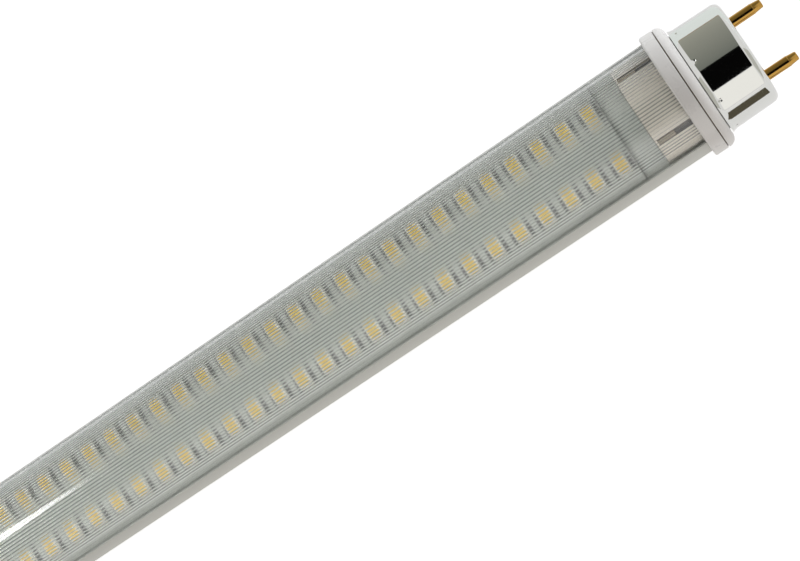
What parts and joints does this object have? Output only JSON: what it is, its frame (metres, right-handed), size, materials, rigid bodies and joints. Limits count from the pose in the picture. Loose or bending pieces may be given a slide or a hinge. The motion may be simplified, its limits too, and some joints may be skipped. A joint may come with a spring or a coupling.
{
  "type": "led tube",
  "caption": "Straight LED tube lamp with a clear ribbed cover over two rows of LEDs, a finned aluminium back and a chrome two-pin cap at each end.",
  "frame": {"origin": "middle of the tube, on its axis", "axes": "+X along the tube towards one cap, +Z the way the LEDs face"},
  "size_m": [0.604, 0.0278, 0.0278],
  "materials": {
    "anodised_aluminium": "satin",
    "clear_plastic": "clear",
    "board_white": "solder mask",
    "led_white": "smooth",
    "phosphor_yellow": "silicone",
    "cap_white": "moulded",
    "cap_chrome": "bright",
    "insulator_grey": "moulded",
    "pin_brass": "bright",
    "driver_board_green": "satin",
    "film_clear": "film",
    "component_black": "moulded",
    "component_yellow": "tape",
    "ferrite": "sintered",
    "capacitor_sleeve": "sleeved",
    "resistor_green": "enamel",
    "lead_red": "insulated wire"
  },
  "bodies": {
    "root": {"heat_sink_housing": "anodised_aluminium", "clear_cover": "clear_plastic", "led_board": "board_white", "front_led_row": "led_white", "back_led_row": "led_white", "front_phosphor_row": "phosphor_yellow", "back_phosphor_row": "phosphor_yellow", "plugs": "cap_white", "cap_rings": "cap_white", "cap_shells": "cap_chrome", "pin_insulators": "insulator_grey", "pin_links": "pin_brass", "right_front_pin": "pin_brass", "right_back_pin": "pin_brass", "left_front_pin": "pin_brass", "left_back_pin": "pin_brass", "driver_film": "film_clear", "driver_board": "driver_board_green", "fuse_resistor": "resistor_green", "noise_capacitor": "component_yellow", "input_choke": "ferrite", "bridge_rectifier": "component_black", "bulk_capacitors": "capacitor_sleeve", "transformer_core": "ferrite", "transformer_winding": "component_yellow", "controller_chip": "component_black", "output_diode": "component_black", "output_capacitor": "capacitor_sleeve", "right_mains_lead": "lead_red", "left_mains_lead": "lead_red", "front_output_post": "pin_brass", "back_output_post": "pin_brass"}
  },
  "joints": []
}
